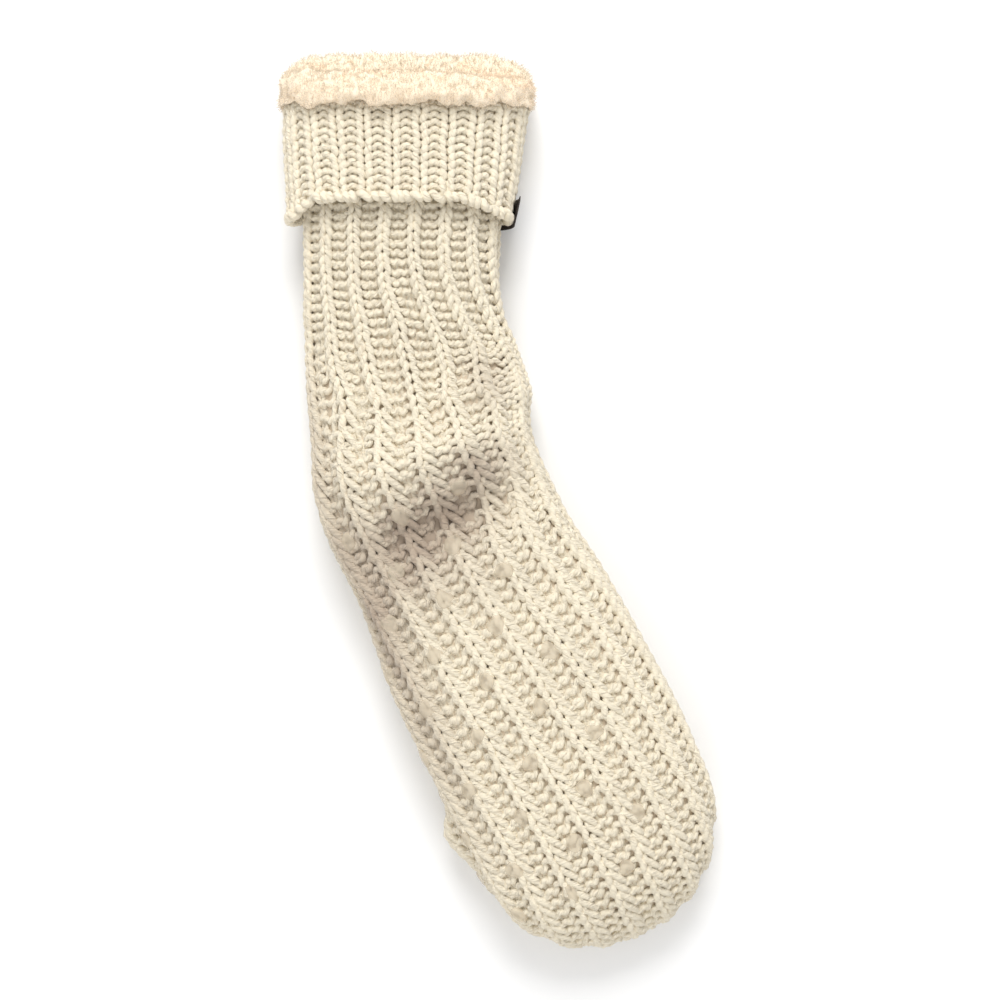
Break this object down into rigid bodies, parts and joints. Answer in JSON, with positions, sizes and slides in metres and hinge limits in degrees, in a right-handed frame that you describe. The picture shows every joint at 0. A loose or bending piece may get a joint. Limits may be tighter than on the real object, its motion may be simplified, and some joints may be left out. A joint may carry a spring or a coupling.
{
  "type": "slipper sock",
  "caption": "Ribbed knit slipper sock with turned-down cuff, fleece at the mouth, grip dots on the sole side and a bare side tab, lying flat on its side",
  "frame": {"origin": "middle of the bounding box's bottom, on the floor that the sock lies on", "axes": "+X from the sole side to the instep side of the leg, +Y up the leg, +Z away from the floor, out of the upper face"},
  "size_m": [0.1846, 0.385, 0.0493],
  "materials": {
    "knit": "chunky cream yarn, matt",
    "fleece": "curly sherpa pile, matt",
    "tab": "dark close weave, bare",
    "silicone": "clear silicone, satin gloss"
  },
  "bodies": {
    "root": {"knit_sock": "knit", "fleece_lining": "fleece", "side_tab": "tab", "grip_dot_01": "silicone", "grip_dot_02": "silicone", "grip_dot_03": "silicone", "grip_dot_04": "silicone", "grip_dot_05": "silicone", "grip_dot_06": "silicone", "grip_dot_07": "silicone", "grip_dot_08": "silicone", "grip_dot_09": "silicone", "grip_dot_10": "silicone", "grip_dot_11": "silicone", "grip_dot_12": "silicone", "grip_dot_13": "silicone", "grip_dot_14": "silicone", "grip_dot_15": "silicone", "grip_dot_16": "silicone", "grip_dot_17": "silicone", "grip_dot_18": "silicone", "grip_dot_19": "silicone", "grip_dot_20": "silicone", "grip_dot_21": "silicone", "grip_dot_22": "silicone", "grip_dot_23": "silicone", "grip_dot_24": "silicone", "grip_dot_25": "silicone"}
  },
  "joints": []
}
